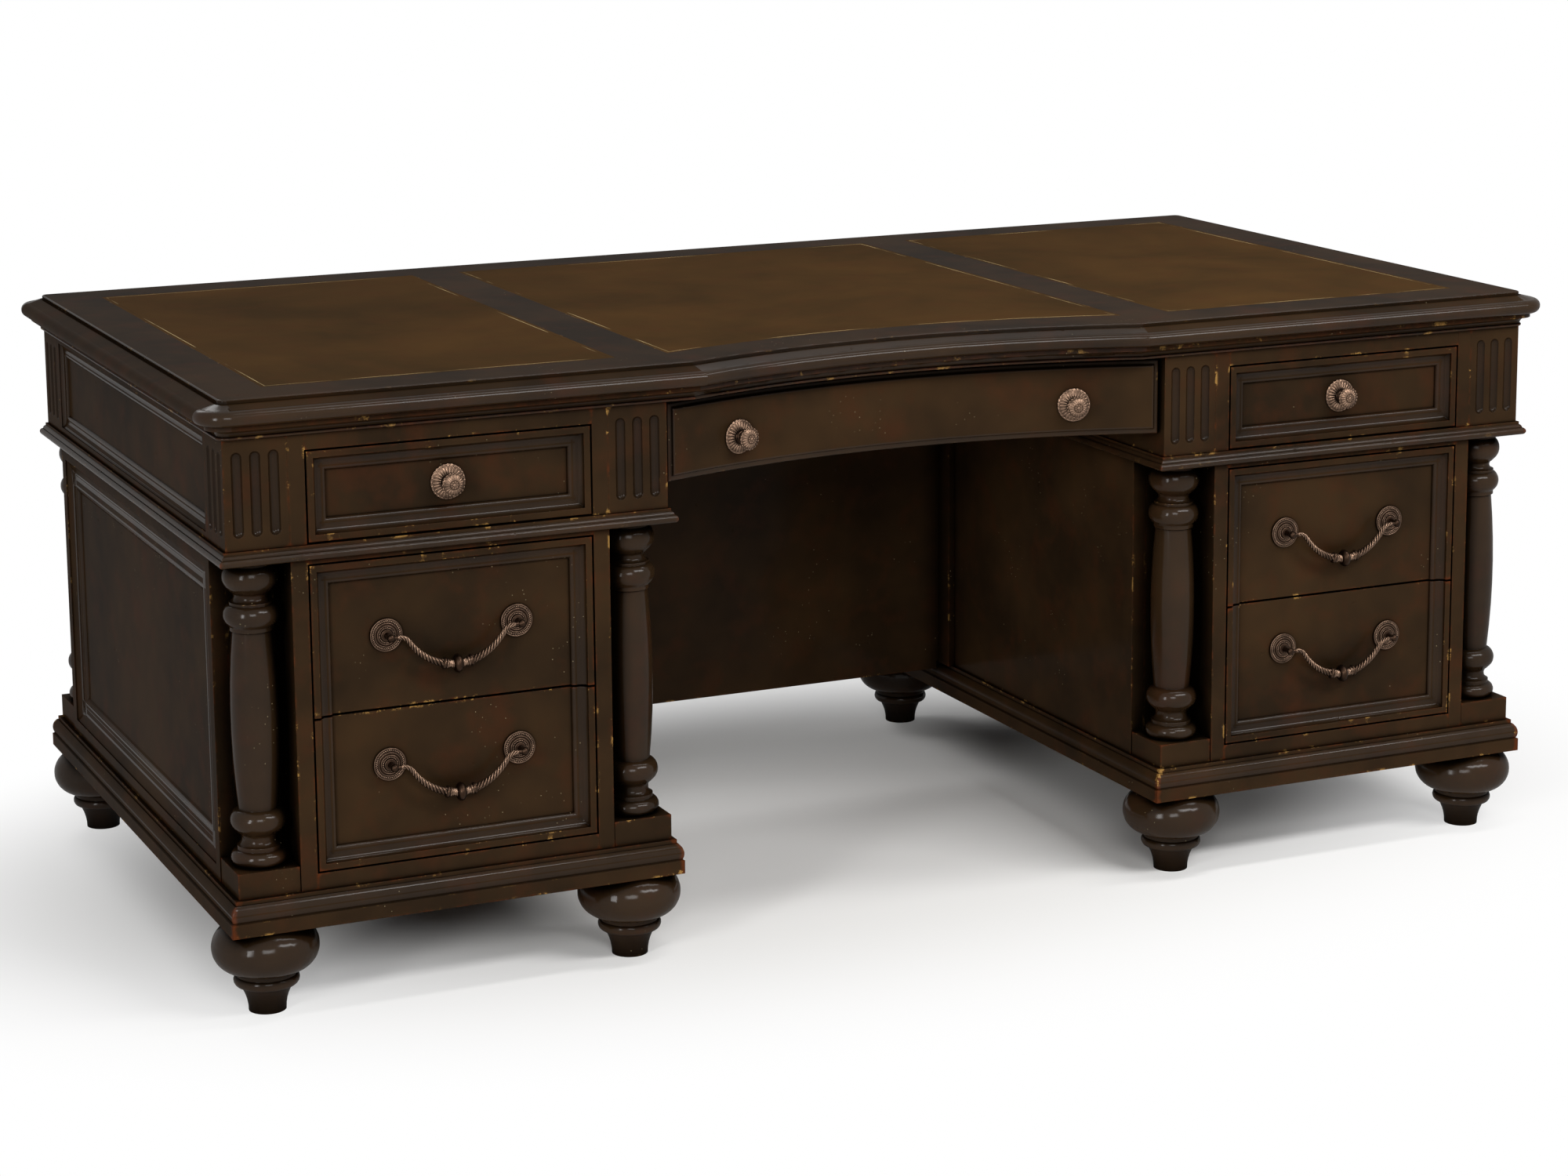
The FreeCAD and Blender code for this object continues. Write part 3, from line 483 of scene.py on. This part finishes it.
def lathe(rows, segments, arcCount=8):  # turned about Z, in millimetres, closed at both poles
    points = profilePoints(rows, arcCount)
    work = bmesh.new()
    rings = []
    for radius, height in points:
        if radius < 0.005:
            rings.append([work.verts.new((0, 0, height * mm))])
        else:
            rings.append([work.verts.new((radius * mm * math.cos(math.tau * step / segments),
                                          radius * mm * math.sin(math.tau * step / segments), height * mm))
                          for step in range(segments)])
    for low, high in zip(rings, rings[1:]):
        for step in range(segments):
            corners = [low[step % len(low)], low[(step + 1) % len(low)], high[(step + 1) % len(high)],
                       high[step % len(high)]]
            unique = [corner for place, corner in enumerate(corners) if corner not in corners[:place]]
            work.faces.new(unique)
    for ring in (rings[0], rings[-1]):
        if len(ring) > 1:
            work.faces.new(ring)
    bmesh.ops.recalc_face_normals(work, faces=work.faces)
    mesh = bpy.data.meshes.new("turning")
    work.to_mesh(mesh)
    work.free()
    mesh.shade_smooth()
    mesh.set_sharp_from_angle(angle=math.radians(38))
    return mesh


def joined(name, parts):  # parts: (mesh, matrix) pairs
    work = bmesh.new()
    for mesh, matrix in parts:
        copy = mesh.copy()
        copy.transform(matrix)
        work.from_mesh(copy)
        bpy.data.meshes.remove(copy)
    mesh = bpy.data.meshes.new(name)
    work.to_mesh(mesh)
    work.free()
    return mesh


# Node tree: a ring of petals, beads or rope strands standing on a face
def ringTree():
    tree = bpy.data.node_groups.new("ringOfPetals", "GeometryNodeTree")
    tree.interface.new_socket("Geometry", in_out="INPUT", socket_type="NodeSocketGeometry")
    for name, kind in (("Count", "NodeSocketInt"), ("Ring Radius", "NodeSocketFloat"), ("Height", "NodeSocketFloat"),
                       ("Petal Size", "NodeSocketVector"), ("Tilt", "NodeSocketFloat"), ("Slant", "NodeSocketFloat"),
                       ("Material", "NodeSocketMaterial")):
        tree.interface.new_socket(name, in_out="INPUT", socket_type=kind)
    tree.interface.new_socket("Geometry", in_out="OUTPUT", socket_type="NodeSocketGeometry")
    given = addNode(tree, "NodeGroupInput").outputs
    circle = addNode(tree, "GeometryNodeMeshCircle", {"Vertices": given["Count"], "Radius": given["Ring Radius"]})
    petal = addNode(tree, "GeometryNodeMeshUVSphere", {"Segments": 10, "Rings": 7, "Radius": 1.0})
    spot = addNode(tree, "ShaderNodeSeparateXYZ", {0: addNode(tree, "GeometryNodeInputPosition").outputs[0]})
    turn = addNode(tree, "ShaderNodeMath", {0: spot.outputs[1], 1: spot.outputs[0]}, operation="ARCTAN2")
    slanted = addNode(tree, "ShaderNodeMath", {0: turn.outputs[0], 1: given["Slant"]}, operation="ADD")
    angles = addNode(tree, "ShaderNodeCombineXYZ", {1: given["Tilt"], 2: slanted.outputs[0]})
    rotation = addNode(tree, "FunctionNodeEulerToRotation", {0: angles.outputs[0]})
    copies = addNode(tree, "GeometryNodeInstanceOnPoints", {
        "Points": circle.outputs[0], "Instance": petal.outputs[0], "Rotation": rotation.outputs[0],
        "Scale": given["Petal Size"]})
    whole = addNode(tree, "GeometryNodeRealizeInstances", {0: copies.outputs[0]})
    lift = addNode(tree, "ShaderNodeCombineXYZ", {2: given["Height"]})
    raised = addNode(tree, "GeometryNodeSetPosition", {"Geometry": whole.outputs[0], "Offset": lift.outputs[0]})
    smooth = addNode(tree, "GeometryNodeSetShadeSmooth", {0: raised.outputs[0]})
    coated = addNode(tree, "GeometryNodeSetMaterial", {"Geometry": smooth.outputs[0], "Material": given["Material"]})
    addNode(tree, "NodeGroupOutput", {0: coated.outputs[0]})
    return tree


# Node tree: strands twisted round a path, left-handed on one half and right-handed on the other
def ropeTree():
    tree = bpy.data.node_groups.new("twistedBail", "GeometryNodeTree")
    tree.interface.new_socket("Geometry", in_out="INPUT", socket_type="NodeSocketGeometry")
    for name, kind in (("Strands", "NodeSocketInt"), ("Turns", "NodeSocketFloat"), ("Middle Radius", "NodeSocketFloat"),
                       ("End Radius", "NodeSocketFloat"), ("Strand Share", "NodeSocketFloat"),
                       ("Material", "NodeSocketMaterial")):
        tree.interface.new_socket(name, in_out="INPUT", socket_type=kind)
    tree.interface.new_socket("Geometry", in_out="OUTPUT", socket_type="NodeSocketGeometry")
    given = addNode(tree, "NodeGroupInput").outputs
    path = addNode(tree, "GeometryNodeResampleCurve", {"Curve": given["Geometry"], "Count": 150})
    along = addNode(tree, "GeometryNodeSplineParameter").outputs["Factor"]
    fromMiddle = addNode(tree, "ShaderNodeMath", {0: along, 1: 0.5}, operation="SUBTRACT")
    reach = addNode(tree, "ShaderNodeMath", {0: fromMiddle.outputs[0]}, operation="ABSOLUTE")
    taper = addNode(tree, "ShaderNodeMapRange", {0: reach.outputs[0], 1: 0.12, 2: 0.5, 3: given["Middle Radius"],
                                                 4: given["End Radius"]})
    coreRadius = addNode(tree, "ShaderNodeMath", {0: taper.outputs[0], 1: 0.55}, operation="MULTIPLY")
    ring = addNode(tree, "GeometryNodeCurvePrimitiveCircle", {"Resolution": 8, "Radius": 1.0})
    coreTube = addNode(tree, "GeometryNodeCurveToMesh", {"Curve": path.outputs[0], "Profile Curve": ring.outputs[0],
                                                         "Scale": coreRadius.outputs[0], "Fill Caps": True})
    copies = addNode(tree, "GeometryNodeDuplicateElements", {"Geometry": path.outputs[0], "Amount": given["Strands"]},
                     domain="SPLINE")
    share = addNode(tree, "ShaderNodeMath", {0: copies.outputs[1], 1: given["Strands"]}, operation="DIVIDE")
    twist = addNode(tree, "ShaderNodeMath", {0: reach.outputs[0], 1: given["Turns"], 2: share.outputs[0]},
                    operation="MULTIPLY_ADD")
    turn = addNode(tree, "ShaderNodeMath", {0: twist.outputs[0], 1: math.tau}, operation="MULTIPLY")
    cosine = addNode(tree, "ShaderNodeMath", {0: turn.outputs[0]}, operation="COSINE")
    sine = addNode(tree, "ShaderNodeMath", {0: turn.outputs[0]}, operation="SINE")
    tangent = addNode(tree, "GeometryNodeInputTangent").outputs[0]
    across = (0.0, 1.0, 0.0)  # the path lies in the XZ plane
    inPlane = addNode(tree, "ShaderNodeVectorMath", {0: tangent, 1: across}, operation="CROSS_PRODUCT")
    first = addNode(tree, "ShaderNodeVectorMath", {0: inPlane.outputs[0], "Scale": cosine.outputs[0]}, operation="SCALE")
    second = addNode(tree, "ShaderNodeVectorMath", {0: across, "Scale": sine.outputs[0]}, operation="SCALE")
    around = addNode(tree, "ShaderNodeVectorMath", {0: first.outputs[0], 1: second.outputs[0]}, operation="ADD")
    strandRadius = addNode(tree, "ShaderNodeMath", {0: taper.outputs[0], 1: given["Strand Share"]}, operation="MULTIPLY")
    helix = addNode(tree, "ShaderNodeMath", {0: taper.outputs[0], 1: strandRadius.outputs[0]}, operation="SUBTRACT")
    offset = addNode(tree, "ShaderNodeVectorMath", {0: around.outputs[0], "Scale": helix.outputs[0]}, operation="SCALE")
    strands = addNode(tree, "GeometryNodeSetPosition", {"Geometry": copies.outputs[0], "Offset": offset.outputs[0]})
    tube = addNode(tree, "GeometryNodeCurveToMesh", {"Curve": strands.outputs[0], "Profile Curve": ring.outputs[0],
                                                     "Scale": strandRadius.outputs[0], "Fill Caps": True})
    both = addNode(tree, "GeometryNodeJoinGeometry", {0: tube.outputs[0]})
    tree.links.new(coreTube.outputs[0], both.inputs[0])
    whole = addNode(tree, "GeometryNodeRealizeInstances", {0: both.outputs[0]})
    smooth = addNode(tree, "GeometryNodeSetShadeSmooth", {0: whole.outputs[0]})
    coated = addNode(tree, "GeometryNodeSetMaterial", {"Geometry": smooth.outputs[0], "Material": given["Material"]})
    addNode(tree, "NodeGroupOutput", {0: coated.outputs[0]})
    return tree


def grown(tree, data, values):  # the mesh that a tree makes from some data and its named inputs
    carrier = bpy.data.objects.new("carrier", data)
    bpy.context.scene.collection.objects.link(carrier)
    modifier = carrier.modifiers.new("grow", "NODES")
    modifier.node_group = tree
    for item in tree.interface.items_tree:
        if item.in_out == "INPUT" and item.name in values:
            modifier[item.identifier] = values[item.name]
    carrier.update_tag()
    depsgraph = bpy.context.evaluated_depsgraph_get()
    mesh = bpy.data.meshes.new_from_object(carrier.evaluated_get(depsgraph))
    carrier.modifiers.remove(modifier)
    bpy.data.objects.remove(carrier)
    return mesh


petalRing = ringTree()
ropeTwist = ropeTree()


def ringMesh(count, radius, height, size, tilt=0.0, slant=0.0):  # millimetres and degrees
    return grown(petalRing, bpy.data.meshes.new("seed"), {
        "Count": count, "Ring Radius": radius * mm, "Height": height * mm,
        "Petal Size": tuple(value * mm for value in size), "Tilt": math.radians(tilt), "Slant": math.radians(slant),
        "Material": oiledCopper})


def facing(x, y, z, turn=0.0):  # a turning's +Z becomes -Y, then turns about Z
    return Matrix.Translation((x, y, z)) @ Matrix.Rotation(turn, 4, "Z") @ Matrix.Rotation(math.pi / 2, 4, "X")


# Knobs: a domed plate of petals, and a mushroom head with petals round a beaded eye
knob = {"radius": 22.4, "platePetals": 26, "headPetals": 20, "eyeBeads": 9, "headRadius": 14.6, "neck": 5.6, "reach": 28.0}


def knobMesh():
    turning = lathe([(0, 0), (22.0, 0), (22.4, 0.5), (22.4, 1.5), (21.4, 2.1), (16.5, 4.0, 10.5, 4.9), (8.6, 5.0),
                     (8.0, 5.8), (6.4, 6.4, 5.6, 8.4), (5.4, 13.0), (6.2, 15.6, 10.6, 17.6), (13.2, 18.6),
                     (14.6, 20.4, 13.8, 22.6), (8.4, 25.6, 0, 26.6)], 72)
    identity = Matrix.Identity(4)
    parts = [turning,
             ringMesh(knob["platePetals"], 15.2, 3.8, (6.2, 1.4, 1.4), tilt=15),
             ringMesh(knob["platePetals"], 21.2, 1.7, (1.3, 2.3, 1.0)),
             ringMesh(knob["headPetals"], 9.9, 24.4, (4.0, 1.15, 1.3), tilt=19),
             ringMesh(knob["headPetals"], 13.9, 21.9, (1.2, 1.9, 1.3), tilt=40),
             ringMesh(knob["eyeBeads"], 4.0, 26.3, (1.15, 1.15, 1.1)),
             lathe([(2.4, 26.0), (2.4, 26.6), (1.7, 27.7, 0, 28.0)], 24)]
    return joined("knob", [(part, identity) for part in parts])


def knobPlace(node):
    low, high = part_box(node)
    return (low + high) / 2, high.y


oneKnob = knobMesh()
for side in ("left", "right"):
    node = "top_drawer_knob_" + side
    middle, face = knobPlace(node)
    mesh = joined(node, [(oneKnob, facing(middle.x, face, middle.z))])
    finishPiece(node + ".finished", mesh, node, oiledCopper)

# the centre drawer's knobs stand square to its bowed face
bow = {"radius": 976.87, "axis": -1388.87, "setback": 15.5, "knobPlace": 245.0}
faceRadius = math.sqrt((bow["radius"] + bow["setback"]) ** 2 - knob["radius"] ** 2)
knobTurn = math.asin(bow["knobPlace"] / faceRadius)
low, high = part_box("center_drawer_knobs")
parts = []
for sign in (-1, 1):
    parts.append((oneKnob, facing(sign * bow["knobPlace"] * mm, (bow["axis"] + faceRadius * math.cos(knobTurn)) * mm,
                                  (low.z + high.z) / 2, -sign * knobTurn)))
finishPiece("center_drawer_knobs.finished", joined("centerKnobs", parts), "center_drawer_knobs", oiledCopper)
print("knobs made")


# Rosettes: plain rim, rope ring, two steps, a beaded ring and the post with its ball
rosette = {"radius": 21.0, "ropeStrands": 44, "innerBeads": 26, "standoff": 21.0, "ball": 5.2, "post": 3.4}


def rosetteMesh():
    neck = math.sqrt(rosette["ball"] ** 2 - rosette["post"] ** 2)
    turning = lathe([(0, 0), (20.6, 0), (21.0, 0.6), (21.0, 2.2), (20.5, 3.1, 19.4, 3.0), (19.2, 2.4), (15.9, 2.4),
                     (15.7, 3.2), (15.0, 3.9, 14.2, 3.4), (13.8, 2.9), (12.6, 3.2), (12.4, 4.0), (11.7, 4.7, 10.9, 4.4),
                     (10.6, 3.8), (7.9, 4.0), (7.7, 5.2), (7.0, 6.0, 6.0, 5.9), (4.4, 6.4),
                     (rosette["post"], 8.2), (rosette["post"], rosette["standoff"] - neck),
                     (rosette["ball"], rosette["standoff"], 0, rosette["standoff"] + rosette["ball"])], 72)
    rope = ringMesh(rosette["ropeStrands"], 17.55, 2.6, (1.9, 0.85, 1.05), slant=38)
    beads = ringMesh(rosette["innerBeads"], 9.25, 4.1, (1.0, 0.85, 0.8), slant=30)
    return joined("rosette", [(part, Matrix.Identity(4)) for part in (turning, rope, beads)])


oneRosette = rosetteMesh()
# Bails: a rope-twist bar that thins to plain shanks in the posts' balls, a turned ball between collars
bail = {"spacing": 170.775, "ball": 7.5, "collar": 2.5, "drop": 41.0, "shoulder": 16.0, "middle": 5.4, "end": 2.8,
        "strands": 4, "turns": 8.5, "strandShare": 0.34, "shank": 2.5, "shankEnd": 3.0, "collarPlace": 15.5}


def bailPath():
    start = bail["spacing"] / 2 - bail["ball"] - bail["collar"]
    turn = 2 * math.atan2(bail["drop"], start)
    sweep = start / math.sin(turn) - bail["shoulder"]
    knee = (start - bail["shoulder"] * math.sin(turn), -bail["shoulder"] * (1 - math.cos(turn)))
    half = turn / 2
    shoulder = (start - bail["shoulder"] * math.sin(half), -bail["shoulder"] * (1 - math.cos(half)))
    sag = (sweep * math.sin(half), sweep * (1 - math.cos(half)) - bail["drop"])
    side = [(start, 0)] + arcThrough((start, 0), shoulder, knee, 10)
    side += arcThrough(side[-1], sag, (0, -bail["drop"]), 30)
    points = [(-x, z) for x, z in side] + [(x, z) for x, z in reversed(side[:-1])]
    data = bpy.data.curves.new("bailPath", "CURVE")
    data.dimensions = "3D"
    spline = data.splines.new("POLY")
    spline.points.add(len(points) - 1)
    for point, (x, z) in zip(spline.points, points):
        point.co = (x * mm, 0, z * mm, 1)
    return data, start, sweep


def bailMesh():
    path, start, sweep = bailPath()
    rope = grown(ropeTwist, path, {"Strands": bail["strands"], "Turns": bail["turns"], "Middle Radius": bail["middle"] * mm,
                                   "End Radius": bail["end"] * mm, "Strand Share": bail["strandShare"],
                                   "Material": oiledCopper})
    alongX = Matrix.Rotation(math.pi / 2, 4, "Y")
    ball = lathe([(0, -9.4), (4.6, -9.4), (5.0, -8.4), (4.9, -7.2), (5.9, -6.6, 5.6, -5.9), (10.4, -3.4, 12.0, 0),
                  (10.4, 3.4, 5.6, 5.9), (5.9, 6.6, 4.9, 7.2), (5.0, 8.4), (4.6, 9.4), (0, 9.4)], 40)
    collar = lathe([(0, -4.6), (5.0, -4.6), (7.4, -3.2, 7.6, -1.4), (6.8, -0.4), (6.0, 0.4), (6.7, 1.5, 6.0, 2.6),
                    (5.0, 3.4), (4.8, 5.6), (0, 5.6)], 36)
    lowest = Matrix.Translation((0, 0, -bail["drop"] * mm))
    parts = [(rope, Matrix.Identity(4)), (ball, lowest @ alongX)]
    lean = math.asin(bail["collarPlace"] / sweep)
    place = Vector((-bail["collarPlace"], 0, sweep * (1 - math.cos(lean)) - bail["drop"])) * mm
    standing = Matrix.Translation(place) @ Matrix.Rotation(lean, 4, "Y") @ alongX
    parts += [(collar, standing), (collar, Matrix.Rotation(math.pi, 4, "Z") @ standing)]
    tip = bail["spacing"] / 2 - bail["shankEnd"]
    shank = lathe([(0, start - 0.6), (2.8, start - 0.6), (3.1, start + 0.2, 2.7, start + 1.0), (bail["shank"], start + 2.0),
                   (bail["shank"], tip), (0, tip)], 28)
    parts += [(shank, alongX), (shank, Matrix.Rotation(math.pi, 4, "Z") @ alongX)]
    return joined("bail", parts)


oneBail = bailMesh()
for side in ("left", "right"):
    for level in ("upper", "lower"):
        node = "%s_rosettes_%s" % (level, side)
        low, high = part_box(node)
        height = (low.z + high.z) / 2
        reach = rosette["radius"] * mm
        mesh = joined(node, [(oneRosette, facing(x, high.y, height)) for x in (low.x + reach, high.x - reach)])
        finishPiece(node + ".finished", mesh, node, oiledCopper)
        node = "%s_bail_%s" % (level, side)
        middle = (low.x + high.x) / 2
        place = Matrix.Translation((middle, high.y - rosette["standoff"] * mm, height))
        finishPiece(node + ".finished", joined(node, [(oneBail, place)]), node, oiledCopper)
print("pulls made")


# The CAD nodes that stay as they are
plainFinish = {"drawer_slides": zincSteel}
for node, body in bodyOf.items():
    finish = plainFinish.get(node, sealedWood if "_drawer_box" in node else blackLacquer)
    cadNodes[node].data.materials.clear()
    cadNodes[node].data.materials.append(finish)
print("plain boards coated")


# Studio: pale paper, two strips above for the bullnose, softboxes by the camera, at the left and high at the back
studio = {"paper": "#f4f3f1", "world": 0.10, "floorSize": 14.0, "fadeStart": 0.40, "fadeEnd": 0.95}


def whiteSeen(tree):  # 1 for rays that see the white surround: the camera's and those in gloss or glass
    path = addNode(tree, "ShaderNodeLightPath").outputs
    seen = addNode(tree, "ShaderNodeMath", {0: path["Is Camera Ray"], 1: path["Is Transmission Ray"]}, operation="MAXIMUM")
    return addNode(tree, "ShaderNodeMath", {0: seen.outputs[0], 1: path["Is Glossy Ray"]}, operation="MAXIMUM").outputs[0]


def paperMaterial():
    material, tree = newMaterial("matPaper")
    place = addNode(tree, "ShaderNodeTexCoord").outputs["Object"]
    fibre = addNode(tree, "ShaderNodeTexNoise", {"Vector": place, "Scale": perMetre(12), "Detail": 3.0})
    bump = addNode(tree, "ShaderNodeBump", {"Strength": 0.03, "Distance": 0.2 * mm, "Height": fibre.outputs[0]})
    shader = addNode(tree, "ShaderNodeBsdfPrincipled", {"Base Color": colour(studio["paper"]), "Roughness": 0.9,
                                                        "Specular IOR Level": 0.1, "Normal": bump.outputs[0]})
    # away from the desk the paper fades to plain white
    flat = addNode(tree, "ShaderNodeVectorMath", {0: place, 1: (0.62, 1.0, 0.0)}, operation="MULTIPLY")
    away = addNode(tree, "ShaderNodeVectorMath", {0: flat.outputs[0]}, operation="LENGTH")
    fade = addNode(tree, "ShaderNodeMapRange", {0: away.outputs["Value"], 1: studio["fadeStart"], 2: studio["fadeEnd"]},
                   interpolation_type="SMOOTHSTEP")
    share = addNode(tree, "ShaderNodeMath", {0: fade.outputs[0], 1: whiteSeen(tree)}, operation="MULTIPLY")
    white = addNode(tree, "ShaderNodeEmission", {0: (1, 1, 1, 1), 1: 1.0})
    mixed = addNode(tree, "ShaderNodeMixShader", {0: share.outputs[0], 1: shader.outputs[0], 2: white.outputs[0]})
    closeMaterial(tree, mixed)
    return material


def addFloor():
    half = studio["floorSize"]
    mesh = bpy.data.meshes.new("paperFloor")
    mesh.from_pydata([(-half, -half, 0), (half, -half, 0), (half, half, 0), (-half, half, 0)], [], [(0, 1, 2, 3)])
    mesh.materials.append(paperMaterial())
    floor = bpy.data.objects.new("paperFloor", mesh)
    bpy.context.scene.collection.objects.link(floor)


def addSoftbox(name, place, target, size, power, tint="#ffffff"):
    data = bpy.data.lights.new(name, "AREA")
    data.shape = "RECTANGLE"
    data.size, data.size_y = size
    data.energy = power
    data.color = colour(tint)[:3]
    lamp = bpy.data.objects.new(name, data)
    lamp.location = place
    lamp.rotation_euler = (Vector(target) - Vector(place)).to_track_quat("-Z", "Y").to_euler()
    bpy.context.scene.collection.objects.link(lamp)


addFloor()
addSoftbox("overhead", (1.2, -0.95, 3.2), (1.2, -0.30, 0.6), (2.8, 0.30), 30)
addSoftbox("noseStrip", (1.7, -2.9, 2.9), (1.7, -0.45, 0.70), (3.0, 0.60), 105)
addSoftbox("byCamera", (-1.6, -5.0, 2.6), (-0.1, 0, 0.4), (2.0, 1.4), 95)
addSoftbox("leftFill", (-4.0, -2.9, 1.5), (-0.6, -0.2, 0.45), (0.7, 2.0), 85)
addSoftbox("backFill", (-1.2, 4.0, 3.6), (0, 0.3, 0.5), (2.2, 1.4), 50)

world = bpy.data.worlds.new("studio")
world.use_nodes = True
worldTree = world.node_tree
worldTree.nodes.clear()
strength = addNode(worldTree, "ShaderNodeMapRange", {0: whiteSeen(worldTree), 3: studio["world"], 4: 1.0})
sky = addNode(worldTree, "ShaderNodeBackground", {0: (1, 1, 1, 1), 1: strength.outputs[0]})
addNode(worldTree, "ShaderNodeOutputWorld", {0: sky.outputs[0]})
bpy.context.scene.world = world

# Camera fitted to the photograph's edges, in a 2000 by 1500 frame
view = {"place": (-2.023, -4.487, 1.531), "azimuth": -24.30, "elevation": 10.42, "roll": -0.48, "focal": 4484.0,
        "middle": 992.0, "shift": -0.12}
cameraData = bpy.data.cameras.new("camera")
cameraData.sensor_width = 36.0
cameraData.lens = view["focal"] * cameraData.sensor_width / 2000.0
cameraData.shift_x = (1000.0 - view["middle"]) / 2000.0
cameraData.shift_y = view["shift"]
cameraData.clip_start = 0.05
camera = bpy.data.objects.new("camera", cameraData)
turned = (Matrix.Rotation(math.radians(view["azimuth"]), 4, "Z") @ Matrix.Rotation(math.radians(90 - view["elevation"]), 4, "X")
          @ Matrix.Rotation(math.radians(view["roll"]), 4, "Z"))
camera.matrix_world = Matrix.Translation(view["place"]) @ turned
bpy.context.scene.collection.objects.link(camera)
bpy.context.scene.camera = camera
bpy.context.scene.view_settings.view_transform = "Standard"
print("studio set")
